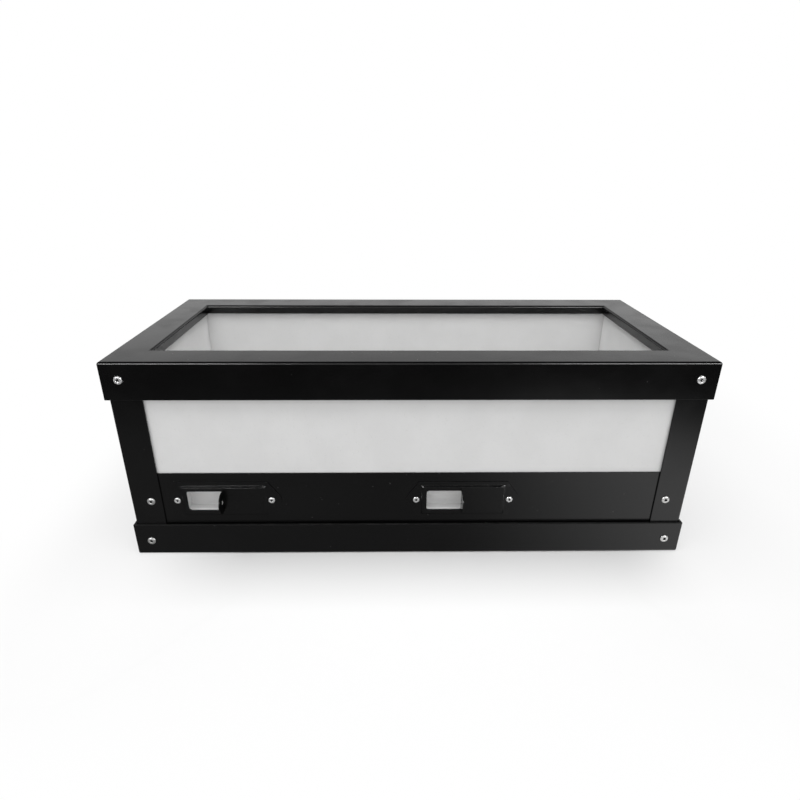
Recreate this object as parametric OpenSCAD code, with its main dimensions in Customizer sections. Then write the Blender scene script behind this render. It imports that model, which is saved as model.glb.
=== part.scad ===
// Tabletop charcoal grill: a black sheet-steel frame around a fire box of
// ceramic-fibre board, with two sliding air vents in each long side.
// Origin: middle of the footprint, on the floor.  +X runs along the length
// to the right, the front faces -Y and +Z is up.
// Left and right vents are named as seen when facing the side they are in.

/* [Body] */
// Overall length, over the top frame's skirts
body_l = 540; // [480:1:640]
// Overall depth, over the top frame's skirts
body_d = 236; // [210:1:320]
// Overall height, floor to the top of the frame
body_h = 202; // [190:1:260]

/* [Top frame] */
// Sheet thickness of the top frame
cap_t = 1.5; // [1:0.1:2]
// Height of the outer skirt of the top frame
cap_skirt_h = 35.4; // [26:0.2:45]
// Height of the inner flange of the top frame
cap_flange_h = 9.6; // [6:0.2:20]
// Outside radius of the top frame's bends
cap_bend_r = 2.4; // [2.2:0.1:4]
// Clearance between the skirt and the corner posts
cap_gap = 1.5; // [0.5:0.1:2]
// Clearance between the inner flange and the liner boards
flange_gap = 2.5; // [0.5:0.5:8]

/* [Base tray] */
// Sheet thickness of the base tray
tray_t = 1.5; // [1:0.1:2]
// Height of the tray's skirts
tray_h = 35.3; // [28:0.1:40]
// Outside radius of the tray's bottom bends
tray_bend_r = 2.4; // [2.2:0.1:4]
// Clearance between the tray's skirts and the corner posts
tray_gap = 1; // [0.3:0.1:1.5]

/* [Corner posts] */
// Width of each leg of the corner angles
post_leg = 29.2; // [26:0.2:40]
// Thickness of the corner angles
post_t = 1.5; // [1:0.1:3]
// Outside radius of the corner angles' bend
post_bend_r = 2.2; // [1:0.1:4]

/* [Lower panels] */
// Sheet thickness of the lower panels
panel_t = 1; // [0.8:0.1:1.5]
// Height of lower panel that shows above the tray
panel_show = 54.5; // [50:0.5:70]
// Clearance at the ends of the lower panels
panel_gap = 0.3; // [0.1:0.1:1]

/* [Insulation] */
// Thickness of the wall and hearth boards
board_t = 12.5; // [10:0.5:20]
// Thickness of the insulation under the hearth
floor_t = 25; // [15:0.5:35]
// Clearance at the ends of the boards
board_gap = 0.25; // [0.1:0.05:1]
// Clearance between the wall boards and the top frame
board_top_gap = 0.5; // [0.2:0.1:2]

/* [Vents] */
// Width of the vent window
window_w = 34.5; // [28:0.5:36]
// Height of the vent window
window_h = 21.8; // [16:0.2:24]
// Corner radius of the vent window
window_r = 2.5; // [1:0.1:4]
// Height of the vents above the tray's skirt
vent_rise = 25.2; // [24:0.2:27]
// Distance between the two vents of one side
vent_spacing = 229; // [130:1:240]
// Clearance between a vent guide and the corner post
vent_margin = 5.5; // [2:0.5:10]
// Sheet thickness of the vent guides
guide_t = 1; // [0.8:0.1:1.2]
// Width of the guide's channel above and below the window
channel_side = 5.9; // [5.5:0.1:7]
// Length of the guide's channel beyond the open slider's window
channel_spare = 6.5; // [6:0.1:9]
// Width of the flat lip above and below the guide's channel
guide_lip = 2.7; // [2:0.1:4]
// Width of the sloped wall around the guide's channel
guide_slope = 2.8; // [2:0.1:3.2]
// Radius of the guide's rounded ears
ear_r = 9.3; // [6:0.1:10]
// Distance from the channel's end to the rivet
ear_reach = 4; // [3.8:0.1:6]
// Sheet thickness of the sliders
slider_t = 1; // [0.8:0.1:1.2]
// Clearance on each face of the slider
slider_gap = 0.3; // [0.2:0.05:0.4]
// How far the slider laps over the window's long edges
slider_lap = 2.6; // [2:0.1:3]
// How far the closed slider laps over the window's far end
slider_end_lap = 3.3; // [2:0.1:5]
// Clearance between the tab and the window's ends
tab_gap = 0.3; // [0.2:0.05:0.6]
// Radius of the slider's round tab
tab_r = 10.8; // [8:0.1:10.8]
// Distance of the tab's centre in front of the guide
tab_proud = 2.5; // [2:0.1:5]
// Radius of the hole in the tab
tab_hole_r = 2.3; // [1.5:0.1:3]
// Clearance between the tab's neck and the window above and below it
neck_gap = 0.5; // [0.3:0.1:1]
// How far the air passage in the boards is larger than the window
pocket_margin = 2.5; // [1:0.1:3]
// Height of the air ports in the liner boards
port_h = 20; // [10:0.5:22]
// How far the air ports' lower edge lies above the vent's middle
port_rise = 3.5; // [0:0.5:5]

/* [Rivets] */
// Shank diameter of the frame rivets
rivet_d = 4; // [3:0.1:5]
// Head diameter of the frame rivets
rivet_head_d = 8.3; // [7:0.1:10]
// Head height of the frame rivets
rivet_head_h = 1.5; // [1:0.1:2]
// Shank diameter of the vent rivets
vent_rivet_d = 3.2; // [2.4:0.1:4]
// Head diameter of the vent rivets
vent_rivet_head_d = 6.5; // [5:0.1:7]
// Head height of the vent rivets
vent_rivet_head_h = 1.1; // [0.8:0.1:1.5]
// Radial clearance of the rivets in their holes
rivet_gap = 0.05; // [0.02:0.01:0.1]
// Distance of the skirt rivets from the post's outer face
skirt_rivet_in = 13; // [10:0.5:15]
// Distance of the top frame's rivets below the top
cap_rivet_drop = 16.2; // [12:0.2:18]
// Height of the tray's rivets above the floor
tray_rivet_rise = 16; // [12:0.2:20]
// Distance of the panel rivets from the post's free edge
panel_rivet_in = 10.2; // [6:0.2:12]
// Height of the panel rivets below the middle of the vents
panel_rivet_drop = 0.5; // [-4:0.5:4]

/* [Hidden] */

steel_black = "#1b1b1c";
board_white = "#dcdad6";
rivet_grey = "#b4b4b2";

slab = 0.01;
cut_over = 1;
round_fn = 48;
bend_steps = 6;
least_bend_r = 0.3;

// Half lengths and half depths of each layer of the wall, from the outside in.
// Each is [half length, half depth].
cap_out = [body_l / 2, body_d / 2];
post_out = [for (c = cap_out) c - cap_t - cap_gap];
tray_out = [for (p = post_out) p + tray_gap + tray_t];
tray_in = [for (p = post_out) p + tray_gap];
post_in = [for (p = post_out) p - post_t];
panel_in = [for (p = post_in) p - panel_t];
board_in = [for (p = panel_in) p - board_t];
liner_in = [for (b = board_in) b - board_t];
flange_out = [for (l = liner_in) l - flange_gap];
mouth = [for (f = flange_out) f - cap_t];

// Inside radii of the bends
cap_fillet = max(cap_bend_r - cap_t, least_bend_r);
tray_fillet = max(tray_bend_r - tray_t, least_bend_r);
post_fillet = max(post_bend_r - post_t, least_bend_r);

// Heights; the posts, panels and boards stay clear of the bends' fillets
cap_under = body_h - cap_t;
post_top = cap_under - max(cap_fillet - cap_gap, 0);
post_foot = tray_t + max(tray_fillet - tray_gap, 0);
board_top = cap_under - board_top_gap - max(cap_fillet - flange_gap, 0);
panel_top = tray_h + panel_show;
floor_top = tray_t + floor_t;
hearth_top = floor_top + board_t;
vent_z = tray_h + vent_rise;
panel_rivet_z = vent_z - panel_rivet_drop;
cap_rivet_z = body_h - cap_rivet_drop;

// Vent guide: the window ends just left of the guide's middle
window_off = 0.5;
panel_window_grow = 1;
window_right = -window_off;
window_left = window_right - window_w;
window_mid = (window_left + window_right) / 2;
channel_end = window_w + channel_spare;
channel_half_h = window_h / 2 + channel_side;
guide_half_h = channel_half_h + guide_lip;
guide_rise = slider_t + 2 * slider_gap + guide_t;
ear_x = channel_end + ear_reach;
guide_end = ear_x + ear_r;
guide_corner = [channel_end + guide_slope / 2, guide_half_h];

// Slider: open at rest, the tab against the window's right edge
tab_t = slider_t;
tab_left = window_right - tab_gap - tab_t;
slider_right = tab_left + window_w + slider_end_lap;
slider_half_h = window_h / 2 + slider_lap;
window_corner_drop = window_r - sqrt(window_r * window_r - (window_r - tab_gap) * (window_r - tab_gap));
neck_half_h = window_h / 2 - window_corner_drop - neck_gap;

// Vent places along a long side, left vent first
vent_left_x = -(post_out[0] - post_leg) + vent_margin + guide_end;
vent_right_x = vent_left_x + vent_spacing;
vent_xs = [vent_left_x, vent_right_x];

// Air passage: a pocket in the outer board, and a port higher up in the liner
pocket_l = window_w + 2 * pocket_margin;
pocket_bottom = vent_z - window_h / 2 - pocket_margin;
port_bottom = vent_z + port_rise;
pocket_top = port_bottom + port_h;

// Rivets: shares of the shank and the head
head_arc = 75;
tail_share = 0.7;
cap_tail_share = 0.8;
dimple_share = 0.26;
dimple_floor_share = 0.45;
hole_reach = 10;

// Points of a quarter bend about [cx, cy], from angle a by 90 degrees
function bend(cx, cy, r, a, turn) = [
    for (i = [0 : bend_steps])
        [cx + r * cos(a + turn * 90 * i / bend_steps), cy + r * sin(a + turn * 90 * i / bend_steps)]
];

// Rectangle with rounded corners
module round_rect(w, h, r) {
    square([w - 2 * r, h], center = true);
    square([w, h - 2 * r], center = true);
    for (x = [-1, 1], y = [-1, 1])
        translate([x * (w / 2 - r), y * (h / 2 - r)])
            circle(r = r, $fn = round_fn);
}

// Box from its low corner to its high corner
module span_box(low, high) {
    translate(low)
        cube(high - low);
}

// Puts the children on each of the four walls in turn, turned so that the
// wall faces -Y.  $run is half the wall's length and $face its distance out.
module on_each_wall(halves) {
    for (turn = [0, 1, 2, 3]) {
        $run = halves[turn % 2];
        $face = halves[(turn + 1) % 2];
        rotate([0, 0, 90 * turn])
            children();
    }
}

// Hole through a wall that faces -Y
module wall_hole(x, z, face, r, depth) {
    translate([x, -face + depth, z])
        rotate([90, 0, 0])
            cylinder(r = r, h = depth + cut_over, $fn = round_fn);
}

// Blind rivet standing out of a wall that faces -Y, with a flat tail behind
module rivet(x, z, face, d, head_d, head_h, grip, tail) {
    head = [
        for (i = [0 : bend_steps])
            let (a = head_arc * i / bend_steps)
                [head_d / 2 * cos(a), head_h * sin(a) / sin(head_arc)]
    ];
    dimple_r = d * dimple_share;
    dimple_floor = head_h * dimple_floor_share;
    stem_end = grip + tail;
    tail_r = d * tail_share;
    translate([x, -face, z])
        rotate([90, 0, 0])
            rotate_extrude($fn = round_fn)
                polygon(concat(
                    [[0, dimple_floor]],
                    [[0, -stem_end]],
                    tail > 0 ? [[tail_r, -stem_end], [tail_r, -grip]] : [],
                    [[d / 2, tail > 0 ? -grip : -stem_end], [d / 2, 0]],
                    head,
                    [[dimple_r, head_h], [dimple_r, dimple_floor]]
                ));
}

// ---- Base tray and top frame ----

// Block that is a rectangle at every height.  side lists [distance outside
// halves, height] up the block's side, from its low edge to its high edge.
module profile_block(halves, side) {
    over = max([for (p = side) p[0]]) + cut_over;
    intersection() {
        rotate([90, 0, 90])
            linear_extrude(2 * (halves[0] + over), center = true)
                profile_outline(halves[1], side);
        rotate([90, 0, 0])
            linear_extrude(2 * (halves[1] + over), center = true)
                profile_outline(halves[0], side);
    }
}

module profile_outline(half, side) {
    polygon(concat(
        [for (p = side) [half + p[0], p[1]]],
        [for (i = [len(side) - 1 : -1 : 0]) [-half - side[i][0], side[i][1]]]
    ));
}

// Block with its bottom edges rounded
module tray_block(halves, low, high, r) {
    profile_block(halves, concat(bend(-r, low + r, r, 270, 1), [[0, high]]));
}

// Block with its top edges rounded
module cap_block(halves, low, high, r) {
    profile_block(halves, concat([[0, low]], bend(-r, high - r, r, 0, 1)));
}

// Block that flares out to its top edges
module flared_block(halves, low, high, r) {
    profile_block(halves, concat([[0, low]], bend(r, high - r, r, 180, -1), [[r, high + cut_over]]));
}

module base_tray() {
    color(steel_black)
        difference() {
            tray_block(tray_out, 0, tray_h, tray_bend_r);
            tray_block(tray_in, tray_t, tray_h + cut_over, tray_fillet);
            skirt_rivet_holes(tray_rivet_rise, tray_out);
        }
}

// Skirt, flat rim and inner flange, bent from one sheet
module top_frame() {
    skirt_in = [for (c = cap_out) c - cap_t];
    skirt_low = body_h - cap_skirt_h;
    flange_low = body_h - cap_flange_h;
    color(steel_black)
        difference() {
            cap_block(cap_out, skirt_low, body_h, cap_bend_r);
            difference() {
                cap_block(skirt_in, skirt_low - cut_over, cap_under, cap_fillet);
                flared_block(flange_out, flange_low, cap_under, cap_fillet);
            }
            flared_block(mouth, skirt_low, body_h, cap_bend_r);
            skirt_rivet_holes(cap_rivet_z, cap_out);
        }
}

// ---- Corner posts ----

// Angle at the right-hand front corner, its outer corner on post_out
module post_shape() {
    r = post_bend_r;
    q = post_fillet;
    translate([post_out[0], -post_out[1]])
        polygon(concat(
            [[-post_leg, 0]],
            bend(-r, r, r, 270, 1),
            [[0, post_leg], [-post_t, post_leg]],
            bend(-post_t - q, post_t + q, q, 0, -1),
            [[-post_leg, post_t]]
        ));
}

module corner_post(side_x, side_y) {
    color(steel_black)
        difference() {
            mirror([side_x < 0 ? 1 : 0, 0, 0])
                mirror([0, side_y > 0 ? 1 : 0, 0])
                    translate([0, 0, post_foot])
                        linear_extrude(post_top - post_foot)
                            post_shape();
            skirt_rivet_holes(cap_rivet_z, post_out);
            skirt_rivet_holes(tray_rivet_rise, post_out);
            panel_rivet_holes();
        }
}

module front_left_post() {
    corner_post(-1, -1);
}

module front_right_post() {
    corner_post(1, -1);
}

module back_left_post() {
    corner_post(-1, 1);
}

module back_right_post() {
    corner_post(1, 1);
}

// ---- Rivet patterns ----

// Distance of the skirt rivets and panel rivets from the middle of a wall
function skirt_rivet_x(run) = run - skirt_rivet_in;
function panel_rivet_x(run) = run - post_leg + panel_rivet_in;

// Holes of the rivets through the skirts at height z
module skirt_rivet_holes(z, halves) {
    stand = halves[0] - post_out[0];
    on_each_wall(post_out)
        for (side = [-1, 1])
            wall_hole(side * skirt_rivet_x($run), z, $face + stand, rivet_d / 2 + rivet_gap, hole_reach);
}

module panel_rivet_holes() {
    on_each_wall(post_out)
        for (side = [-1, 1])
            wall_hole(side * panel_rivet_x($run), panel_rivet_z, $face, rivet_d / 2 + rivet_gap, hole_reach);
}

module frame_rivets(z, halves, inner, tail) {
    stand = halves[0] - post_out[0];
    on_each_wall(post_out)
        for (side = [-1, 1])
            rivet(side * skirt_rivet_x($run), z, $face + stand,
                rivet_d, rivet_head_d, rivet_head_h, halves[0] - inner[0], tail);
}

module top_frame_rivets() {
    color(rivet_grey)
        frame_rivets(cap_rivet_z, cap_out, post_in, panel_t * cap_tail_share);
}

module tray_rivets() {
    color(rivet_grey)
        frame_rivets(tray_rivet_rise, tray_out, panel_in, 0);
}

module panel_rivets() {
    color(rivet_grey)
        on_each_wall(post_out)
            for (side = [-1, 1])
                rivet(side * panel_rivet_x($run), panel_rivet_z, $face,
                    rivet_d, rivet_head_d, rivet_head_h, post_t + panel_t, 0);
}

module vent_rivets() {
    color(rivet_grey)
        for (x = vent_xs, side = [-1, 1])
            rivet(x + side * ear_x, vent_z, post_in[1] + guide_t,
                vent_rivet_d, vent_rivet_head_d, vent_rivet_head_h, guide_t + panel_t, 0);
}

module front_vent_rivets() {
    vent_rivets();
}

module back_vent_rivets() {
    rotate([0, 0, 180])
        vent_rivets();
}

// ---- Lower panels ----

// Window through a sheet that faces -Y, larger than the vent window by grow
module window_cut(x, z, face, depth, grow) {
    translate([x + window_mid, -face + depth, z])
        rotate([90, 0, 0])
            linear_extrude(depth + cut_over)
                round_rect(window_w + 2 * grow, window_h + 2 * grow, window_r + grow);
}

// The long panels' ends stay clear of the fillets inside the corner posts
module long_panel() {
    half = post_in[0] - post_fillet - panel_gap;
    color(steel_black)
        difference() {
            span_box([-half, -post_in[1], post_foot], [half, -panel_in[1], panel_top]);
            for (x = vent_xs) {
                window_cut(x, vent_z, post_in[1], hole_reach, panel_window_grow);
                for (side = [-1, 1])
                    wall_hole(x + side * ear_x, vent_z, post_in[1], vent_rivet_d / 2 + rivet_gap, hole_reach);
            }
            panel_rivet_holes();
            skirt_rivet_holes(tray_rivet_rise, post_out);
        }
}

module end_panel(side) {
    half = panel_in[1] - panel_gap;
    color(steel_black)
        difference() {
            mirror([side < 0 ? 1 : 0, 0, 0])
                span_box([panel_in[0], -half, post_foot], [post_in[0], half, panel_top]);
            panel_rivet_holes();
            skirt_rivet_holes(tray_rivet_rise, post_out);
        }
}

module front_panel() {
    long_panel();
}

module back_panel() {
    rotate([0, 0, 180])
        long_panel();
}

module left_panel() {
    end_panel(-1);
}

module right_panel() {
    end_panel(1);
}

// ---- Insulation ----

// Air passage cut through a board that faces -Y, between two heights
module air_cut(x, face, low, high) {
    translate([x + window_mid - pocket_l / 2, -face - cut_over, low])
        cube([pocket_l, board_t + 2 * cut_over, high - low]);
}

module long_outer_board() {
    half = panel_in[0] - board_gap;
    color(board_white)
        difference() {
            span_box([-half, -panel_in[1], tray_t], [half, -board_in[1], board_top]);
            for (x = vent_xs)
                air_cut(x, panel_in[1], pocket_bottom, pocket_top);
        }
}

module end_outer_board(side) {
    half = board_in[1] - board_gap;
    color(board_white)
        mirror([side < 0 ? 1 : 0, 0, 0])
            span_box([board_in[0], -half, tray_t], [panel_in[0], half, board_top]);
}

module long_liner_board() {
    half = board_in[0] - board_gap;
    color(board_white)
        difference() {
            span_box([-half, -board_in[1], floor_top], [half, -liner_in[1], board_top]);
            for (x = vent_xs)
                air_cut(x, board_in[1], port_bottom, pocket_top);
        }
}

module end_liner_board(side) {
    half = liner_in[1] - board_gap;
    color(board_white)
        mirror([side < 0 ? 1 : 0, 0, 0])
            span_box([liner_in[0], -half, floor_top], [board_in[0], half, board_top]);
}

module front_outer_board() {
    long_outer_board();
}

module back_outer_board() {
    rotate([0, 0, 180])
        long_outer_board();
}

module left_outer_board() {
    end_outer_board(-1);
}

module right_outer_board() {
    end_outer_board(1);
}

module front_liner_board() {
    long_liner_board();
}

module back_liner_board() {
    rotate([0, 0, 180])
        long_liner_board();
}

module left_liner_board() {
    end_liner_board(-1);
}

module right_liner_board() {
    end_liner_board(1);
}

module floor_insulation() {
    half = [for (b = board_in) b - board_gap];
    color(board_white)
        span_box([-half[0], -half[1], tray_t], [half[0], half[1], floor_top]);
}

module hearth_board() {
    half = [for (l = liner_in) l - board_gap];
    color(board_white)
        span_box([-half[0], -half[1], floor_top], [half[0], half[1], hearth_top]);
}

// ---- Vents ----
// A vent is drawn about its middle, on a panel whose face lies at y = 0

// Flat outline of the guide: a plate with a rounded ear at each end
module guide_outline() {
    corner = guide_corner;
    reach = norm(corner - [ear_x, 0]);
    lean = atan2(corner[1], corner[0] - ear_x) - acos(ear_r / reach);
    touch = [ear_x + ear_r * cos(lean), ear_r * sin(lean)];
    polygon([
        corner, touch, [touch[0], -touch[1]], [corner[0], -corner[1]],
        -corner, -touch, [-touch[0], touch[1]], [-corner[0], corner[1]]
    ]);
    for (side = [-1, 1])
        translate([side * ear_x, 0])
            circle(r = ear_r, $fn = round_fn);
}

// Raised channel as a solid with sloped walls, standing out from y = base
module channel_block(base) {
    top = base - guide_rise;
    top_end = channel_end - guide_slope;
    top_half_h = channel_half_h - guide_slope;
    hull() {
        span_box([-channel_end, base - slab, -channel_half_h], [channel_end, base, channel_half_h]);
        span_box([-top_end, top, -top_half_h], [top_end, top + slab, top_half_h]);
    }
}

// Guide: the channel's inside is the same block, one sheet thickness back
module guide_shape() {
    difference() {
        union() {
            rotate([90, 0, 0])
                linear_extrude(guide_t)
                    guide_outline();
            channel_block(0);
        }
        channel_block(guide_t);
        window_cut(0, 0, guide_rise, guide_rise + cut_over, 0);
        for (side = [-1, 1])
            wall_hole(side * ear_x, 0, guide_t, vent_rivet_d / 2 + rivet_gap, hole_reach);
    }
}

// Slider: a plate in the channel with a round tab through the window
module slider_shape() {
    back = -slider_gap;
    front = -guide_rise - slider_gap;
    tab_y = -guide_rise - tab_proud;
    over = tab_left - cut_over;
    far = tab_left + tab_t + cut_over;
    reach = tab_r + cut_over;
    span_box([tab_left, back - slider_t, -slider_half_h], [slider_right, back, slider_half_h]);
    difference() {
        translate([tab_left, tab_y, 0])
            rotate([0, 90, 0])
                cylinder(r = tab_r, h = tab_t, $fn = round_fn);
        span_box([over, back, -reach], [far, reach, reach]);
        span_box([over, front, neck_half_h], [far, reach, reach]);
        span_box([over, front, -reach], [far, reach, -neck_half_h]);
        translate([over, tab_y, 0])
            rotate([0, 90, 0])
                cylinder(r = tab_hole_r, h = far - over, $fn = round_fn);
    }
}

// Places a vent piece on the front or the back, on its left or right vent
module vent_place(back, index) {
    rotate([0, 0, back ? 180 : 0])
        translate([vent_xs[index], -post_in[1], vent_z])
            children();
}

module front_left_vent_guide() {
    color(steel_black)
        vent_place(false, 0)
            guide_shape();
}

module front_right_vent_guide() {
    color(steel_black)
        vent_place(false, 1)
            guide_shape();
}

module back_left_vent_guide() {
    color(steel_black)
        vent_place(true, 0)
            guide_shape();
}

module back_right_vent_guide() {
    color(steel_black)
        vent_place(true, 1)
            guide_shape();
}

module front_left_vent_slider() {
    color(steel_black)
        vent_place(false, 0)
            slider_shape();
}

module front_right_vent_slider() {
    color(steel_black)
        vent_place(false, 1)
            slider_shape();
}

module back_left_vent_slider() {
    color(steel_black)
        vent_place(true, 0)
            slider_shape();
}

module back_right_vent_slider() {
    color(steel_black)
        vent_place(true, 1)
            slider_shape();
}

base_tray();
top_frame();
front_left_post();
front_right_post();
back_left_post();
back_right_post();
front_panel();
back_panel();
left_panel();
right_panel();
front_outer_board();
back_outer_board();
left_outer_board();
right_outer_board();
front_liner_board();
back_liner_board();
left_liner_board();
right_liner_board();
floor_insulation();
hearth_board();
front_left_vent_guide();
front_right_vent_guide();
back_left_vent_guide();
back_right_vent_guide();
front_left_vent_slider();
front_right_vent_slider();
back_left_vent_slider();
back_right_vent_slider();
top_frame_rivets();
panel_rivets();
tray_rivets();
front_vent_rivets();
back_vent_rivets();
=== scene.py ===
"""Looks for a tabletop charcoal grill: satin black sheet steel, fibre boards and blind rivets.

Everything is in metres, in the part's own frame: origin in the middle of the footprint on the
floor, +X to the right along the length, the front facing -Y and +Z up.
"""

import math

import bmesh
import bpy
from mathutils import Matrix, Vector


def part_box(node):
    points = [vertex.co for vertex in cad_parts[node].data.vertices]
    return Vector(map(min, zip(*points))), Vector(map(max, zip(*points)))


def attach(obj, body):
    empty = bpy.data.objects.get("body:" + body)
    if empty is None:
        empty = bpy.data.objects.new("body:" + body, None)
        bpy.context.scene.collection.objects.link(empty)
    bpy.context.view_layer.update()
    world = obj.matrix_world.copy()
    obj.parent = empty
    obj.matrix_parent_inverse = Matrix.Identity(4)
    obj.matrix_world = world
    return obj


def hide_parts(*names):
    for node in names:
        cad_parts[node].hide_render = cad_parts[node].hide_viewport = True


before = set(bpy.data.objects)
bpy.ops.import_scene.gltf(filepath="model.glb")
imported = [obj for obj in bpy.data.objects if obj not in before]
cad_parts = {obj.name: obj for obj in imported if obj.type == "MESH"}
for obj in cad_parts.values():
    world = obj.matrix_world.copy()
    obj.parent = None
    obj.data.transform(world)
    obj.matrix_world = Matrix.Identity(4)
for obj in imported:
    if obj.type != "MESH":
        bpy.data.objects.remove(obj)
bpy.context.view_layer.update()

bl_info = {
    "name": "Charcoal grill looks",
    "version": (1, 0, 0),
    "blender": (4, 5, 0),
    "location": "3D View > Sidebar > Grill",
    "description": "Builds the sheet-steel, board and rivet pieces of a tabletop charcoal grill",
    "category": "Object",
}

BOX = {name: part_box(name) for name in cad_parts}
BODY = "grill_body"
SIDES = ("front", "back")
ENDS = ("left", "right")
MM = 0.001
SHARP_TURN = math.radians(50)
PRESS_ANGLE = math.radians(45)      # slope of the raised channel's wall
PRESS_BEND = 0.5 * MM               # radius of the bends at its foot and crest
PRESS_CORNER = 1.2 * MM             # radius of the raised channel's corners
BLACK, WHITE = (0, 0, 0), (1, 1, 1)


# ---- Settings ----

# Short forms of bpy.props for the settings, with the default in millimetres, watts or degrees.

def length(name, description, millimetres):
    return bpy.props.FloatProperty(
        name=name, description=description, default=millimetres * MM, unit="LENGTH")


def share(name, description, default):
    return bpy.props.FloatProperty(
        name=name, description=description, default=default, subtype="FACTOR")


def colour(name, description, default):
    return bpy.props.FloatVectorProperty(
        name=name, description=description, default=default, size=3, subtype="COLOR")


def power(name, description, watts):
    return bpy.props.FloatProperty(
        name=name, description=description, default=watts, unit="POWER")


def turn_by(name, description, degrees):
    return bpy.props.FloatProperty(
        name=name, description=description, default=math.radians(degrees), unit="ROTATION")


class GrillSizes(bpy.types.PropertyGroup):
    """Sizes of the sheet work, in metres."""

    sheet: length("Frame sheet", "Thickness of the top frame and the corner angles", 1.5)
    tray_sheet: length("Tray edge", "Thickness of the tray's skirts and their hem", 2.45)
    tray_drop: length("Tray edge drop", "How far the hem sits below the tray's full height", 1.5)
    tray_edge: length("Tray edge rounding", "Rounding of the tray's hemmed edge", 0.15)
    rim_width: length("Rim width", "Width of the flat rim around the mouth", 34.5)
    flange_drop: length("Flange height", "Height of the flange inside the mouth", 9.6)
    frame_bend: length("Frame bend", "Outside radius of the bends in the frame and tray", 2.4)
    post_leg: length("Post leg", "Width of each leg of the corner angles", 29.2)
    post_bend: length("Post bend", "Outside radius of the corner angles' bend", 2.2)
    corner: length("Ground corner", "Radius of the welded and ground upright corners", 1.3)
    sheet_edge: length("Sheet edge", "Rounding of the cut edges under the coating", 0.4)
    board_edge: length("Board edge", "Softening of the boards' sawn edges", 0.7)
    guide_sheet: length("Guide sheet", "Thickness of the vent guides", 1)
    guide_edge: length("Guide edge", "Rounding of the guides' and panels' cut edges", 0.1)
    slider_edge: length("Slider edge", "Rounding of the sliders' tabs and their holes", 0.3)
    channel_length: length("Channel length", "Length of the guide's raised channel", 82)
    channel_height: length("Channel height", "Height of the guide's raised channel", 33.6)
    channel_slope: length("Channel slope", "Width of the sloped wall around the channel", 2.8)
    ear_radius: length("Ear radius", "Radius of the guide's rounded ears", 9.3)
    window_width: length("Window width", "Width of the vent window", 34.5)
    window_height: length("Window height", "Height of the vent window", 21.8)
    window_corner: length("Window corner", "Corner radius of the vent window", 2.5)
    window_off: length("Window offset", "From the window's inner edge to the guide's middle", 0.5)
    rivet_head: length("Rivet head", "Height of the large rivets' heads", 1.5)
    vent_rivet_head: length("Vent rivet head", "Height of the vent guides' rivet heads", 1.1)


class GrillFinish(bpy.types.PropertyGroup):
    """Colours and surface values."""

    steel: colour("Black coat", "Colour of the satin black coating", (0.0008, 0.0008, 0.00085))
    steel_rough: share("Coat roughness", "Roughness of the black coating", 0.2)
    edge: colour("Cut edges", "Colour of the thin coating on cut edges", (0.004, 0.004, 0.004))
    dust: colour("Dust", "Colour of the dust specks on the coating", (0.06, 0.06, 0.06))
    board: colour("Board", "Colour of the ceramic-fibre boards", (0.62, 0.62, 0.618))
    rivet: colour("Rivets", "Colour of the zinc-plated rivets", (0.55, 0.55, 0.55))
    # Pin colour: painted shade in the rivets' holes, over the pins' darker steel.
    pin: colour("Rivet pins", "Colour of the broken pins under the soot", (0.05, 0.05, 0.05))


class GrillStage(bpy.types.PropertyGroup):
    """Camera, lamps and floor."""

    eye: bpy.props.FloatVectorProperty(
        name="Camera place", description="Where the camera stands",
        default=(-0.0169, -0.5689, 0.3616), size=3, subtype="TRANSLATION", unit="LENGTH")
    pitch: turn_by("Pitch", "How far the camera looks down", 23.359)
    yaw: turn_by("Yaw", "How far the camera turns to the right", 0.859)
    roll: turn_by("Roll", "How far the camera leans", 0.271)
    lens: bpy.props.FloatProperty(
        name="Lens", description="Focal length in millimetres", default=25.02, min=1)
    overhead: power("Overhead lamp", "Power of the softbox above", 35)
    front_lamp: power("Front lamp", "Power of the wide softbox in front", 20.5)
    strip: power("Strip lamp", "Power of the strip that draws the line along the bends", 2.2)
    end_strip: power("End strips", "Power of each strip that brightens the bends' ends", 27)
    floor: share("Floor", "Brightness of the floor under the grill", 0.59)
    backdrop: share("Backdrop", "Brightness of the pale band around the set", 0.58)


SETTINGS = {"grill_sizes": GrillSizes, "grill_finish": GrillFinish, "grill_stage": GrillStage}


# ---- Shader maths ----

class Wire:
    """A socket of a node tree, with arithmetic that adds Math nodes."""

    def __init__(self, nodes, socket):
        self.nodes = nodes
        self.socket = socket

    def math(self, operation, *values):
        return self.nodes.add("Math", {"operation": operation}, dict(enumerate(values)))

    def __add__(self, other):
        return self.math("ADD", self, other)

    def __radd__(self, other):
        return self.math("ADD", other, self)

    def __sub__(self, other):
        return self.math("SUBTRACT", self, other)

    def __rsub__(self, other):
        return self.math("SUBTRACT", other, self)

    def __mul__(self, other):
        return self.math("MULTIPLY", self, other)

    def __rmul__(self, other):
        return self.math("MULTIPLY", other, self)

    def __pow__(self, other):
        return self.math("POWER", self, other)

    def __abs__(self):
        return self.math("ABSOLUTE", self)

    def at_least(self, least):
        return self.math("MAXIMUM", self, least)

    def between(self, low, high):
        """0 below low, 1 above high, and a soft step from one to the other."""
        return self.nodes.add("MapRange", {"interpolation_type": "SMOOTHSTEP"},
                              {0: self, 1: low, 2: high, 3: 0.0, 4: 1.0})


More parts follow.
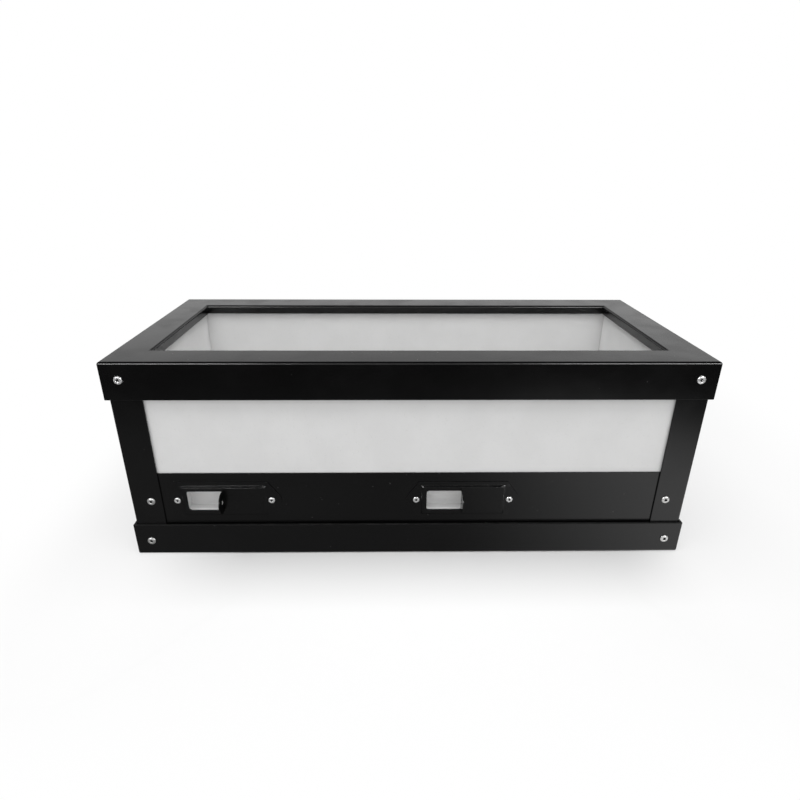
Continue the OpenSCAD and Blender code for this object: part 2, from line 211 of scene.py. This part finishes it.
class Nodes:
    """A node tree being filled, with the few textures that the finishes share."""

    def __init__(self, owner):
        owner.use_nodes = True
        self.owner = owner
        self.tree = owner.node_tree
        self.tree.nodes.clear()

    def add(self, kind, settings=None, values=None, out=0):
        """Adds a node by its type, its settings and then the values or links of its sockets."""
        node = self.tree.nodes.new("ShaderNode" + kind)
        for key, value in (settings or {}).items():
            setattr(node, key, value)
        for key, value in (values or {}).items():
            if isinstance(value, Wire):
                self.tree.links.new(value.socket, node.inputs[key])
            else:
                node.inputs[key].default_value = value
        return Wire(self, node.outputs[out]) if node.outputs else None

    def place(self):
        """Position on the piece, in metres."""
        return self.add("TexCoord", out="Object")

    def axis(self, name):
        """One coordinate of the position."""
        return self.add("SeparateXYZ", values={0: self.place()}, out=name)

    def grain(self, size, detail=2.0, roughness=0.5, stretch=(1.0, 1.0, 1.0)):
        """Noise from 0 to 1 whose lumps are about size across."""
        spot = self.add("Mapping", values={0: self.place(), "Scale": stretch})
        return self.add("TexNoise", values={
            "Vector": spot, "Scale": 1 / size, "Detail": detail, "Roughness": roughness})

    def blend(self, factor, first, second):
        """Mix of two colours."""
        first, second = (c if isinstance(c, Wire) else (*c, 1.0) for c in (first, second))
        return self.add("Mix", {"data_type": "RGBA"}, {0: factor, 6: first, 7: second}, out=2)

    def bump(self, height, depth, under=None):
        """Normal from a height of 0 to 1 that stands for depth metres."""
        values = {"Height": height, "Distance": depth}
        if under:
            values["Normal"] = under
        return self.add("Bump", values=values)

    def surface(self, **values):
        """Principled surface as the material's output."""
        names = {key.replace("_", " ").title().replace("Ior", "IOR"): value
                 for key, value in values.items()}
        self.add("OutputMaterial", values={0: self.add("BsdfPrincipled", values=names)})
        return self.owner


def scaled(paint, factor):
    """A colour made lighter or darker."""
    return tuple(factor * c for c in paint)


# ---- Finishes ----

def black_coat(finish, nodes):
    """Satin black coating: orange peel, soft wipe marks and a little dust."""
    peel = nodes.grain(1.3 * MM, detail=0.0)
    waves = nodes.grain(80 * MM, detail=1.0)
    wipes = nodes.grain(34 * MM).between(0.4, 0.7)
    dust = nodes.grain(3.2 * MM, detail=0.0).between(0.86, 0.89)
    tone = nodes.grain(90 * MM).between(0.3, 0.7)
    base = nodes.blend(tone, finish.steel, scaled(finish.steel, 1.6))
    base = nodes.blend(dust * 0.3, base, finish.dust)
    normal = nodes.bump(peel, 0.001 * MM, under=nodes.bump(waves, 0.12 * MM))
    return nodes.surface(
        base_color=base, roughness=finish.steel_rough + wipes * 0.05 + dust * 0.1, normal=normal)


def matt_coat(finish, nodes):
    """The coating on the sheet's cut edges, where it is thin and matt."""
    thin = nodes.grain(2.5 * MM).between(0.35, 0.7)
    base = nodes.blend(thin, finish.edge, scaled(finish.edge, 3))
    return nodes.surface(
        base_color=base, roughness=0.5 + thin * 0.12, specular_ior_level=0.2,
        normal=nodes.bump(thin, 0.01 * MM))


def fibre_board(finish, nodes):
    """Ceramic-fibre board: pale, dry, clouded, fibrous and pitted, with painted light in its cut
    air ports.
    """
    clouds = nodes.grain(40 * MM, detail=3.0, roughness=0.55).between(0.35, 0.65)
    flecks = nodes.grain(3.5 * MM, detail=3.0, roughness=0.7)
    fibres = nodes.grain(0.9 * MM, detail=4.0, roughness=0.75, stretch=(0.35, 0.35, 1.0))
    pits = nodes.grain(1.8 * MM, detail=1.0).between(0.68, 0.78)
    dull, dark, painted_port_light = (scaled(finish.board, factor) for factor in (0.965, 0.72, 1.36))
    base = nodes.blend(clouds, dull, finish.board)
    base = nodes.blend(flecks.between(0.56, 0.75) * 0.12, base, dark)
    base = nodes.blend(pits * 0.2, base, dark)
    # Painted light: faces inside the boards' thickness, where the air ports are cut, are whitened
    # to lift their shade.
    inner, outer = BOX["back_liner_board"][0].y, BOX["back_outer_board"][1].y
    skin, depth = 1 * MM, abs(nodes.axis("Y"))
    cut = depth.between(inner, inner + skin) * (1 - depth.between(outer - skin, outer))
    base = nodes.blend(cut * 0.8, base, painted_port_light)
    height = fibres * 0.6 + flecks * 0.4 - pits * 0.7
    return nodes.surface(base_color=base, roughness=0.92, normal=nodes.bump(height, 0.1 * MM))


def rivet_steel(finish, nodes):
    """Zinc-plated steel: grey, faintly mottled and rubbed."""
    mottle = nodes.grain(0.9 * MM).between(0.35, 0.7)
    rub = nodes.grain(0.35 * MM, detail=3.0)
    base = nodes.blend(mottle, finish.rivet, scaled(finish.rivet, 0.8))
    return nodes.surface(
        base_color=base, metallic=0.0, roughness=0.35 + rub * 0.2, specular_ior_level=0.15,
        normal=nodes.bump(rub, 0.006 * MM))


def bright_rivet_steel(finish, nodes):
    """The same plating on the small rivets, still bright from the setting tool."""
    rub = nodes.grain(0.3 * MM, detail=3.0)
    bright = scaled(finish.rivet, 1.5)
    base = nodes.blend(rub.between(0.4, 0.7), bright, scaled(bright, 0.8))
    return nodes.surface(
        base_color=base, metallic=0.66, roughness=0.08 + rub * 0.12,
        normal=nodes.bump(rub, 0.006 * MM))


def pin_steel(finish, nodes):
    """Broken pin and hole wall in a rivet: painted shade over darker steel, dull and rough."""
    pin_mottle = nodes.grain(0.4 * MM).between(0.3, 0.7)
    base = nodes.blend(pin_mottle, scaled(finish.pin, 0.24), finish.pin)
    return nodes.surface(
        base_color=base, metallic=0.5, roughness=0.5 + pin_mottle * 0.2,
        normal=nodes.bump(pin_mottle, 0.03 * MM))


FINISHES = {"black_steel": black_coat, "ceramic_board": fibre_board, "rivet_steel": rivet_steel}


def finish_for(slot):
    """The material of one of the record's slots, or of a named finish, made once."""
    make = FINISHES.get(slot, slot)
    name = make.__name__
    made = bpy.data.materials.get(name)
    return made or make(bpy.context.scene.grill_finish, Nodes(bpy.data.materials.new(name)))


# ---- Mesh helpers ----

def bend(x, y, radius, start, turn, steps=8):
    """Points of a quarter circle about (x, y) from start degrees; turn is 1 or -1."""
    angles = [math.radians(start + turn * 90 * i / steps) for i in range(steps + 1)]
    return [(x + radius * math.cos(a), y + radius * math.sin(a)) for a in angles]


def sheet_end(x, y, thick, way, radius):
    """Rounded cut end of an upright sheet, from its face at x to its face at x + thick.

    The end is at height y, and way is 1 where it points up or -1 where it points down.
    """
    steps = 3
    end = []
    for centre, start in ((x + radius, 180), (x + thick - radius, 90)):
        for i in range(steps + 1):
            angle = math.radians(start - 90 * i / steps)
            rise = radius * (math.sin(angle) - 1)
            end.append((centre + radius * math.cos(angle), y + way * rise))
    return end


def rounded_rectangle(half_x, half_y, radius, middle=0.0):
    """Flat points of a rectangle with rounded corners, counter-clockwise."""
    points = []
    for side_x, side_y, start in ((1, 1, 0), (-1, 1, 90), (-1, -1, 180), (1, -1, 270)):
        x, y = middle + side_x * (half_x - radius), side_y * (half_y - radius)
        points += bend(x, y, radius, start, 1, steps=5)
    return points


def ring_loops(corner, profile, radius):
    """Upright rectangle loops for a sheet profile of (distance in from the outer face, height)."""
    least = 0.05 * MM
    return [[(x, y, height) for x, y in
             rounded_rectangle(corner.x - inward, corner.y - inward, max(radius - inward, least))]
            for inward, height in profile]


def loft(mesh, loops, closed=False, capped=False, second=()):
    """Skins loops of equal length; closed joins the last to the first, capped fills both ends.

    Faces after the loops numbered in second take the piece's second finish.
    """
    rows = [[mesh.verts.new(point) for point in loop] for loop in loops]
    pairs = list(zip(rows, rows[1:]))
    if closed:
        pairs.append((rows[-1], rows[0]))
    for number, (lower, upper) in enumerate(pairs):
        for i, corner in enumerate(lower):
            j = (i + 1) % len(lower)
            face = mesh.faces.new((corner, lower[j], upper[j], upper[i]))
            face.material_index = int(number in second)
    if capped:
        mesh.faces.new(rows[0][::-1])
        mesh.faces.new(rows[-1]).material_index = int(len(pairs) in second)


def round_edges(piece, width, weld=False):
    """Small round on the sharp edges, with the flats kept flat in shading."""
    if weld:
        join = piece.modifiers.new("joined_corners", "WELD")
        join.merge_threshold = 0.002 * MM
    if width > 0:
        edge = piece.modifiers.new("rounded_edges", "BEVEL")
        edge.width = width
        edge.segments = 2
        edge.limit_method = "ANGLE"
        edge.angle_limit = SHARP_TURN
    even = piece.modifiers.new("even_shading", "WEIGHTED_NORMAL")
    even.keep_sharp = True


def add_piece(name, mesh, slot, node, sheet=0.0, edge=0.0, finish=None, second=None):
    """Makes a piece of a mesh; it rides on the grill's body and stands for a CAD node."""
    data = bpy.data.meshes.new(name)
    mesh.to_mesh(data)
    mesh.free()
    data.materials.append(finish_for(finish or slot))
    if second:
        data.materials.append(finish_for(second))
    data.shade_smooth()
    data.set_sharp_from_angle(angle=SHARP_TURN)
    piece = bpy.data.objects.new(name, data)
    bpy.context.scene.collection.objects.link(piece)
    if sheet:
        thick = piece.modifiers.new("sheet", "SOLIDIFY")
        thick.thickness = sheet
        thick.offset = -1
        thick.material_offset_rim = int(bool(second))
    round_edges(piece, edge)
    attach(piece, BODY)
    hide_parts(node)
    return piece


def dress(node, slot, edge):
    """Gives a CAD node its finish and soft edges; its own mesh stays as it is."""
    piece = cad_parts[node]
    piece.data.materials.clear()
    piece.data.materials.append(finish_for(slot))
    round_edges(piece, edge, weld=True)


# ---- Pieces ----

def top_frame_ring(sizes):
    """Skirt, rim and flange as one bent ring."""
    low, high = BOX["top_frame"]
    sheet, radius, edge, rim = sizes.sheet, sizes.frame_bend, sizes.sheet_edge, sizes.rim_width
    top, foot = high.z, high.z - sizes.flange_drop
    inside = radius - sheet
    profile = bend(radius, top - radius, radius, 180, -1)
    profile += bend(rim - radius, top - radius, radius, 90, -1)
    profile += sheet_end(rim - sheet, foot, sheet, -1, edge)[::-1]
    profile += bend(rim - radius, top - radius, inside, 0, 1)
    profile += bend(radius, top - radius, inside, 90, 1)
    skirt_end = sheet_end(0, low.z, sheet, -1, edge)[::-1]
    cut = range(len(profile), len(profile) + len(skirt_end) - 1)
    profile += skirt_end
    mesh = bmesh.new()
    loft(mesh, ring_loops(high, profile, sizes.corner), closed=True, second=cut)
    bmesh.ops.recalc_face_normals(mesh, faces=mesh.faces)
    add_piece("top_frame_ring", mesh, "black_steel", "top_frame", second=matt_coat)


def tray_shell(sizes):
    """Tray: a flat bottom and four skirts with ground corners."""
    high = BOX["base_tray"][1]
    sheet, radius, edge = sizes.tray_sheet, sizes.frame_bend, sizes.tray_edge
    profile = bend(radius, radius, radius, 270, -1)
    hem = sheet_end(0, high.z - sizes.tray_drop, sheet, 1, edge)
    cut = range(len(profile), len(profile) + len(hem) - 1)
    profile += hem
    profile += bend(radius, radius, max(radius - sheet, edge), 180, 1)
    mesh = bmesh.new()
    loft(mesh, ring_loops(high, profile, sizes.corner), capped=True, second=cut)
    bmesh.ops.recalc_face_normals(mesh, faces=mesh.faces)
    add_piece("base_tray_shell", mesh, "black_steel", "base_tray", second=matt_coat)


def post_angle(sizes, node):
    """Corner angle: two legs, a rounded bend and softened cut edges."""
    low, high = BOX[node]
    sheet, radius, leg, edge = sizes.sheet, sizes.post_bend, sizes.post_leg, sizes.sheet_edge
    end = sheet_end(0, leg, sheet, 1, edge)
    outline = bend(radius, radius, radius, 270, -1) + end
    outline += bend(radius, radius, radius - sheet, 180, 1) + [(y, x) for x, y in reversed(end)]
    right, back = low.x > 0, low.y > 0
    corner_x, corner_y = (high.x if right else low.x), (high.y if back else low.y)
    points = [(corner_x + (-x if right else x), corner_y + (-y if back else y))
              for x, y in outline]
    mesh = bmesh.new()
    loft(mesh, [[(x, y, z) for x, y in points] for z in (low.z, high.z)], capped=True)
    bmesh.ops.recalc_face_normals(mesh, faces=mesh.faces)
    add_piece(node + "_angle", mesh, "black_steel", node)


def seen_from(centre, outline, angles):
    """Where rays from centre at these angles cross a convex outline."""
    parallel, slack = 1e-12, 1e-6
    points = []
    edges = list(zip(outline, outline[1:] + outline[:1]))
    for angle in angles:
        ray = Vector((math.cos(angle), math.sin(angle)))
        reach = 0.0
        for start, end in edges:
            start, along = Vector(start) - centre, Vector(end) - Vector(start)
            across = ray.cross(along)
            if abs(across) > parallel and -slack <= start.cross(ray) / across <= 1 + slack:
                reach = max(reach, start.cross(along) / across)
        points.append(centre + ray * reach)
    return points


def guide_plate(sizes, half_length, half_height):
    """Outline of the guide's flat plate: straight edges that taper to a round ear at each end."""
    radius = sizes.ear_radius
    ear_x = half_length - radius
    corner_x = (sizes.channel_length + sizes.channel_slope) / 2
    towards_corner = math.atan2(half_height, corner_x - ear_x)
    lean = towards_corner - math.acos(radius / math.hypot(corner_x - ear_x, half_height))
    steps = 14
    ear = [lean * (2 * i / steps - 1) for i in range(steps + 1)]
    end = [(corner_x, -half_height)]
    end += [(ear_x + radius * math.cos(a), radius * math.sin(a)) for a in ear]
    end += [(corner_x, half_height)]
    return end + [(-x, -y) for x, y in end]


def pressed_foot():
    """Lower half of the channel's sloped wall, as (distance along, height) from where it starts.

    It bends up to the slope's full angle, with a narrow flat on the way that catches the light.
    """
    steps, flat_angle, flat = 6, math.radians(31), 0.03 * MM
    angles = [PRESS_ANGLE * i / steps for i in range(steps + 1)]
    foot = [(PRESS_BEND * math.sin(a), PRESS_BEND * (1 - math.cos(a))) for a in angles]
    before = sum(a < flat_angle for a in angles)
    moved = [(along + flat * math.cos(flat_angle), up + flat * math.sin(flat_angle))
             for along, up in foot[before - 1:]]
    return foot[:before] + moved


def vent_guide_pressing(sizes, node, turn):
    """Pressed guide: flat plate, soft shoulders, raised channel and the window in it.

    turn is 1 for a guide on the front and -1 for one on the back.
    """
    low, high = BOX[node]
    middle = (low + high) / 2
    rise = high.y - low.y - sizes.guide_sheet
    half_x, half_z = sizes.channel_length / 2, sizes.channel_height / 2
    window_middle = -sizes.window_off - sizes.window_width / 2
    foot = pressed_foot()
    run = 2 * foot[-1][0] + (rise - 2 * foot[-1][1]) / math.tan(PRESS_ANGLE)
    crest = [(run - along, rise - up) for along, up in reversed(foot)]
    slope = foot + crest + [(run + PRESS_BEND, rise)]
    start = (sizes.channel_slope - run) / 2
    outlines = [(guide_plate(sizes, (high.x - low.x) / 2, (high.z - low.z) / 2), 0.0)]
    for along, up in slope:
        inward = start + along
        channel = rounded_rectangle(half_x - inward, half_z - inward, PRESS_CORNER)
        outlines.append((channel, up / rise))
    window = rounded_rectangle(
        sizes.window_width / 2, sizes.window_height / 2, sizes.window_corner, window_middle)
    outlines.append((window, 1.0))
    centre = Vector((window_middle, 0))
    angles = sorted({round(math.atan2(y - centre.y, x - centre.x), 4)
                     for outline, _ in outlines for x, y in outline})
    outer_y = sizes.guide_sheet - (high.y - low.y) / 2
    loops = [[(middle.x + turn * p.x, middle.y - turn * (outer_y + lift * rise), middle.z + p.y)
              for p in seen_from(centre, outline, angles)] for outline, lift in outlines]
    mesh = bmesh.new()
    loft(mesh, loops)
    mesh.normal_update()
    if sum(face.normal.y * face.calc_area() for face in mesh.faces) * turn > 0:
        bmesh.ops.reverse_faces(mesh, faces=mesh.faces)
    add_piece(node + "_pressing", mesh, "black_steel", node,
              sheet=sizes.guide_sheet, edge=sizes.guide_edge, second=matt_coat)


def islands(mesh):
    """Separate groups of joined vertices."""
    left, groups = set(mesh.verts), []
    while left:
        island, reached = set(), [left.pop()]
        while reached:
            vert = reached.pop()
            island.add(vert)
            for near in (edge.other_vert(vert) for edge in vert.link_edges):
                if near in left:
                    left.remove(near)
                    reached.append(near)
        groups.append(island)
    return groups


def rivet_places(node):
    """Head centre, outward direction and head radius of each rivet in a CAD node."""
    same_point, same_face = 0.001 * MM, 0.01 * MM
    mesh = bmesh.new()
    mesh.from_mesh(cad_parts[node].data)
    bmesh.ops.remove_doubles(mesh, verts=mesh.verts, dist=same_point)
    places = []
    for island in islands(mesh):
        box = [Vector(pick(vert.co[i] for vert in island) for i in range(3))
               for pick in (min, max)]
        middle = (box[0] + box[1]) / 2
        for axis, side, sign in ((1, 0, -1), (1, 1, 1), (0, 0, -1), (0, 1, 1)):
            crown = box[side][axis]
            if abs(crown - BOX[node][side][axis]) < same_face and crown * sign > 0:
                outward = Vector((0, 0, 0))
                outward[axis] = sign
                middle[axis] = crown
                places.append((middle, outward, (box[1].z - box[0].z) / 2))
                break
    mesh.free()
    return places


def rivet_section(head, radius):
    """Half section of a head, from its edge over the dome and down to the pin in its hole.

    Gives (reach, height from the crown) for each point, and the number of the point where the
    hole starts.
    """
    dish, hole, pin = 0.5 * radius, 0.36 * radius, 0.17 * radius
    lip = 0.2 * head
    steps = 8
    turns = [math.radians(90 * i / steps) for i in range(steps + 1)]
    dome = [(dish + (radius - dish) * math.cos(a), -head + lip + (head - lip) * math.sin(a))
            for a in turns]
    funnel = [((dish + hole) / 2, -0.06 * head), (hole, -0.2 * head)]
    bore = [(0.9 * hole, -0.98 * head), (1.05 * pin, -head)]
    stub = [(pin, -0.72 * head), (0.8 * pin, -0.64 * head), (0.25 * pin, -0.7 * head)]
    outside = [(radius - 0.1 * head, -head)] + dome + funnel
    return outside + bore + stub, len(outside) - 1


def rivet_group(node, head, finish, spread):
    """Blind rivets: domed heads with a dimple and the broken-off pin in it.

    spread is the heads' width as a share of the CAD's.
    """
    count, twist = 28, 0.7
    mesh = bmesh.new()
    places = sorted(rivet_places(node), key=lambda place: tuple(place[0]))
    for number, (crown, outward, radius) in enumerate(places):
        section, hole = rivet_section(head, radius * spread)
        side = outward.orthogonal().normalized()
        up = outward.cross(side)
        angles = [twist * number + math.tau * i / count for i in range(count)]
        rows = [[crown + outward * height + (side * math.cos(a) + up * math.sin(a)) * reach
                 for a in angles] for reach, height in section]
        # The hole's wall and the pin take the second finish: painted shade in the hole.
        loft(mesh, rows, capped=True, second=range(hole, len(rows)))
    bmesh.ops.recalc_face_normals(mesh, faces=mesh.faces)
    add_piece(node + "_heads", mesh, "rivet_steel", node, finish=finish, second=pin_steel)


# ---- Operators ----

class GRILL_OT_base_tray(bpy.types.Operator):
    """Build the base tray"""
    bl_idname = "grill.base_tray"
    bl_label = "Base tray"
    bl_options = {"REGISTER", "UNDO"}

    def execute(self, context):
        tray_shell(context.scene.grill_sizes)
        return {"FINISHED"}


class GRILL_OT_posts(bpy.types.Operator):
    """Build the four corner angles"""
    bl_idname = "grill.posts"
    bl_label = "Corner posts"
    bl_options = {"REGISTER", "UNDO"}

    def execute(self, context):
        for side in SIDES:
            for end in ENDS:
                post_angle(context.scene.grill_sizes, f"{side}_{end}_post")
        return {"FINISHED"}


class GRILL_OT_top_frame(bpy.types.Operator):
    """Build the top frame"""
    bl_idname = "grill.top_frame"
    bl_label = "Top frame"
    bl_options = {"REGISTER", "UNDO"}

    def execute(self, context):
        top_frame_ring(context.scene.grill_sizes)
        return {"FINISHED"}


class GRILL_OT_panels(bpy.types.Operator):
    """Finish the lower steel panels"""
    bl_idname = "grill.panels"
    bl_label = "Lower panels"
    bl_options = {"REGISTER", "UNDO"}

    def execute(self, context):
        for side in SIDES + ENDS:
            dress(side + "_panel", "black_steel", context.scene.grill_sizes.guide_edge)
        return {"FINISHED"}


class GRILL_OT_boards(bpy.types.Operator):
    """Finish the ceramic-fibre boards"""
    bl_idname = "grill.boards"
    bl_label = "Boards"
    bl_options = {"REGISTER", "UNDO"}

    def execute(self, context):
        walls = [f"{side}_{kind}_board" for side in SIDES + ENDS for kind in ("outer", "liner")]
        for board in (*walls, "floor_insulation", "hearth_board"):
            dress(board, "ceramic_board", context.scene.grill_sizes.board_edge)
        return {"FINISHED"}


class GRILL_OT_vents(bpy.types.Operator):
    """Build the vent guides and finish their sliders"""
    bl_idname = "grill.vents"
    bl_label = "Vents"
    bl_options = {"REGISTER", "UNDO"}

    def execute(self, context):
        sizes = context.scene.grill_sizes
        for side, turn in zip(SIDES, (1, -1)):
            for end in ENDS:
                vent_guide_pressing(sizes, f"{side}_{end}_vent_guide", turn)
                dress(f"{side}_{end}_vent_slider", "black_steel", sizes.slider_edge)
        return {"FINISHED"}


class GRILL_OT_rivets(bpy.types.Operator):
    """Build the blind rivets"""
    bl_idname = "grill.rivets"
    bl_label = "Rivets"
    bl_options = {"REGISTER", "UNDO"}

    def execute(self, context):
        sizes = context.scene.grill_sizes
        rivet_group("top_frame_rivets", sizes.rivet_head, bright_rivet_steel, spread=0.93)
        for node in ("panel_rivets", "tray_rivets"):
            rivet_group(node, sizes.rivet_head, rivet_steel, spread=0.94)
        for side in SIDES:
            rivet_group(side + "_vent_rivets", sizes.vent_rivet_head, bright_rivet_steel,
                        spread=0.97)
        return {"FINISHED"}


# ---- Stage ----

def two_steps(wire, first, second):
    """Soft rise from 0 to 1 in two steps, each given as its start, its end and its part."""
    low, high = (wire.between(start, end) * part for start, end, part in (first, second))
    return low + high


def floor_finish(nodes, foot, level):
    """Floor that keeps the contact shadow and turns plain white further out.

    To glossy rays it glows instead, a painted reflection for the coating: dark grey, with a little
    painted light near the grill and a painted pool of light in front of the right half.
    """
    x, y = nodes.axis("X"), nodes.axis("Y")
    left = two_steps(0 - x, (0.15, 0.27, 0.65), (0.32, 0.42, 0.35))
    right = two_steps(x, (0.2, 0.29, 0.6), (0.36, 0.6, 0.4))
    in_front_or_behind = (abs(y) - foot.y).between(0.05, 0.25)
    shadowed = nodes.add("BsdfDiffuse", values={"Color": (*scaled(WHITE, level), 1)})
    plain = nodes.add("Emission", values={"Color": (*WHITE, 1), "Strength": 1.0})
    far = (left + right).at_least(in_front_or_behind)
    seen = nodes.add("MixShader", values={0: far, 1: shadowed, 2: plain})
    # Painted light seen only in reflections: dark grey, light near the grill, a pool at the right.
    dark, near_light, pool_light = 0.03, 0.14, 0.85
    pool_x, pool_y = x - 0.2, y + 0.2
    from_pool = (pool_x * pool_x + pool_y * pool_y) ** 0.5
    pool = (1 - from_pool.between(0.14, 0.4)) * x.between(0.02, 0.34)
    near = y.between(-0.55, -0.35)
    grey = nodes.blend(dark + near * near_light + pool * pool_light, BLACK, WHITE)
    mirrored = nodes.add("Emission", values={"Color": grey, "Strength": 1.0})
    glossy = nodes.add("LightPath", out="Is Glossy Ray")
    both = nodes.add("MixShader", values={0: glossy, 1: seen, 2: mirrored})
    nodes.add("OutputMaterial", values={0: both})
    return nodes.owner


def studio_light(nodes, backdrop):
    """White behind the grill for the camera, and a pale band around it for light and gloss."""
    ray = nodes.add("TexCoord", out="Generated")
    across, height = (nodes.add("SeparateXYZ", values={0: ray}, out=axis) for axis in "XZ")
    dark = 0.04
    foot = height.between(0.08, 0.18)
    fading = 1.75 - height.between(0.15, 0.45) * 1.3
    lighter_right = 1 + across * 0.1
    head = 1 - height.between(0.42, 0.56)
    level = dark + foot * fading * lighter_right * head * backdrop
    camera = nodes.add("LightPath", out="Is Camera Ray")
    seen = nodes.blend(camera, nodes.blend(level, BLACK, WHITE), WHITE)
    sky = nodes.add("Background", values={"Color": seen, "Strength": 1.0})
    nodes.add("OutputWorld", values={0: sky})
    return nodes.owner


# Each lamp: its place, the point that it faces, its width and depth, the setting of its power,
# and whether it is only mirrored in the coating (True) or only lights the set (False).
LAMPS = {
    "overhead_softbox": ((0, -0.15, 1.5), (0, 0, 0), 1.6, 1.1, "overhead", False),
    "front_softbox": ((0, -1.4, 1.45), (0, 0, 0.12), 3.2, 1.5, "front_lamp", False),
    "strip_lamp": ((0, -1.65, 1.0), (0, 0, 0.2), 1.0, 0.3, "strip", True),
    "left_strip_lamp": ((-1.2, -1.65, 1.0), (-1.2, 0, 0.2), 1.3, 0.3, "end_strip", True),
    "right_strip_lamp": ((1.25, -1.65, 1.0), (1.25, 0, 0.2), 1.3, 0.3, "end_strip", True),
}


def add_lamp(name, stage):
    """Rectangular lamp from its row in the list."""
    place, aim, width, depth, setting, mirrored = LAMPS[name]
    data = bpy.data.lights.new(name, "AREA")
    data.shape = "RECTANGLE"
    data.size, data.size_y, data.energy = width, depth, getattr(stage, setting)
    lamp = bpy.data.objects.new(name, data)
    lamp.location = place
    lamp.rotation_euler = (Vector(aim) - Vector(place)).to_track_quat("-Z", "Y").to_euler()
    lamp.visible_glossy = mirrored
    lamp.visible_diffuse = not mirrored
    bpy.context.scene.collection.objects.link(lamp)


def add_camera(stage):
    """Camera from its place, its pitch and yaw, and the small lean of its frame."""
    yaw, pitch, roll = stage.yaw, stage.pitch, stage.roll
    ahead = Vector((
        math.sin(yaw) * math.cos(pitch), math.cos(yaw) * math.cos(pitch), -math.sin(pitch)))
    right = Vector((math.cos(yaw), -math.sin(yaw), 0))
    up = right.cross(ahead)
    across = right * math.cos(roll) + up * math.sin(roll)
    upward = up * math.cos(roll) - right * math.sin(roll)
    data = bpy.data.cameras.new("camera")
    data.lens = stage.lens
    data.sensor_width = 36
    data.clip_start = 0.01
    camera = bpy.data.objects.new("camera", data)
    turn = Matrix((across, upward, -ahead)).transposed()
    camera.matrix_world = Matrix.Translation(stage.eye) @ turn.to_4x4()
    bpy.context.scene.collection.objects.link(camera)
    bpy.context.scene.camera = camera


class GRILL_OT_stage(bpy.types.Operator):
    """Set up the floor, the light and the camera"""
    bl_idname = "grill.stage"
    bl_label = "Stage"
    bl_options = {"REGISTER", "UNDO"}

    def execute(self, context):
        scene, stage, half = context.scene, context.scene.grill_stage, 4.0
        corners = ((-half, -half, 0), (half, -half, 0), (half, half, 0), (-half, half, 0))
        mesh = bmesh.new()
        mesh.faces.new([mesh.verts.new(corner) for corner in corners])
        data = bpy.data.meshes.new("floor")
        mesh.to_mesh(data)
        mesh.free()
        paint = Nodes(bpy.data.materials.new("studio_floor"))
        data.materials.append(floor_finish(paint, BOX["base_tray"][1], stage.floor))
        floor = bpy.data.objects.new("floor", data)
        scene.collection.objects.link(floor)
        light = Nodes(bpy.data.worlds.new("studio_light"))
        scene.world = studio_light(light, stage.backdrop)
        for name in LAMPS:
            add_lamp(name, stage)
        add_camera(stage)
        scene.view_settings.view_transform = "Standard"
        return {"FINISHED"}


STEPS = (
    GRILL_OT_base_tray, GRILL_OT_posts, GRILL_OT_top_frame, GRILL_OT_panels, GRILL_OT_boards,
    GRILL_OT_vents, GRILL_OT_rivets, GRILL_OT_stage,
)


class GRILL_PT_looks(bpy.types.Panel):
    """Steps that dress the grill"""
    bl_idname = "GRILL_PT_looks"
    bl_label = "Charcoal grill"
    bl_space_type = "VIEW_3D"
    bl_region_type = "UI"
    bl_category = "Grill"

    def draw(self, context):
        for name, group in SETTINGS.items():
            box = self.layout.box()
            for key in group.__annotations__:
                box.prop(getattr(context.scene, name), key)
        for step in STEPS:
            self.layout.operator(step.bl_idname)


def register():
    for cls in (*SETTINGS.values(), *STEPS, GRILL_PT_looks):
        bpy.utils.register_class(cls)
    for name, group in SETTINGS.items():
        setattr(bpy.types.Scene, name, bpy.props.PointerProperty(type=group))


def unregister():
    for name in SETTINGS:
        delattr(bpy.types.Scene, name)
    for cls in reversed((*SETTINGS.values(), *STEPS, GRILL_PT_looks)):
        bpy.utils.unregister_class(cls)


def main():
    register()
    bpy.ops.grill.stage()
    bpy.ops.grill.base_tray()
    bpy.ops.grill.posts()
    bpy.ops.grill.top_frame()
    bpy.ops.grill.panels()
    bpy.ops.grill.boards()
    bpy.ops.grill.vents()
    bpy.ops.grill.rivets()
    bpy.context.view_layer.update()


if __name__ == "__main__":
    main()
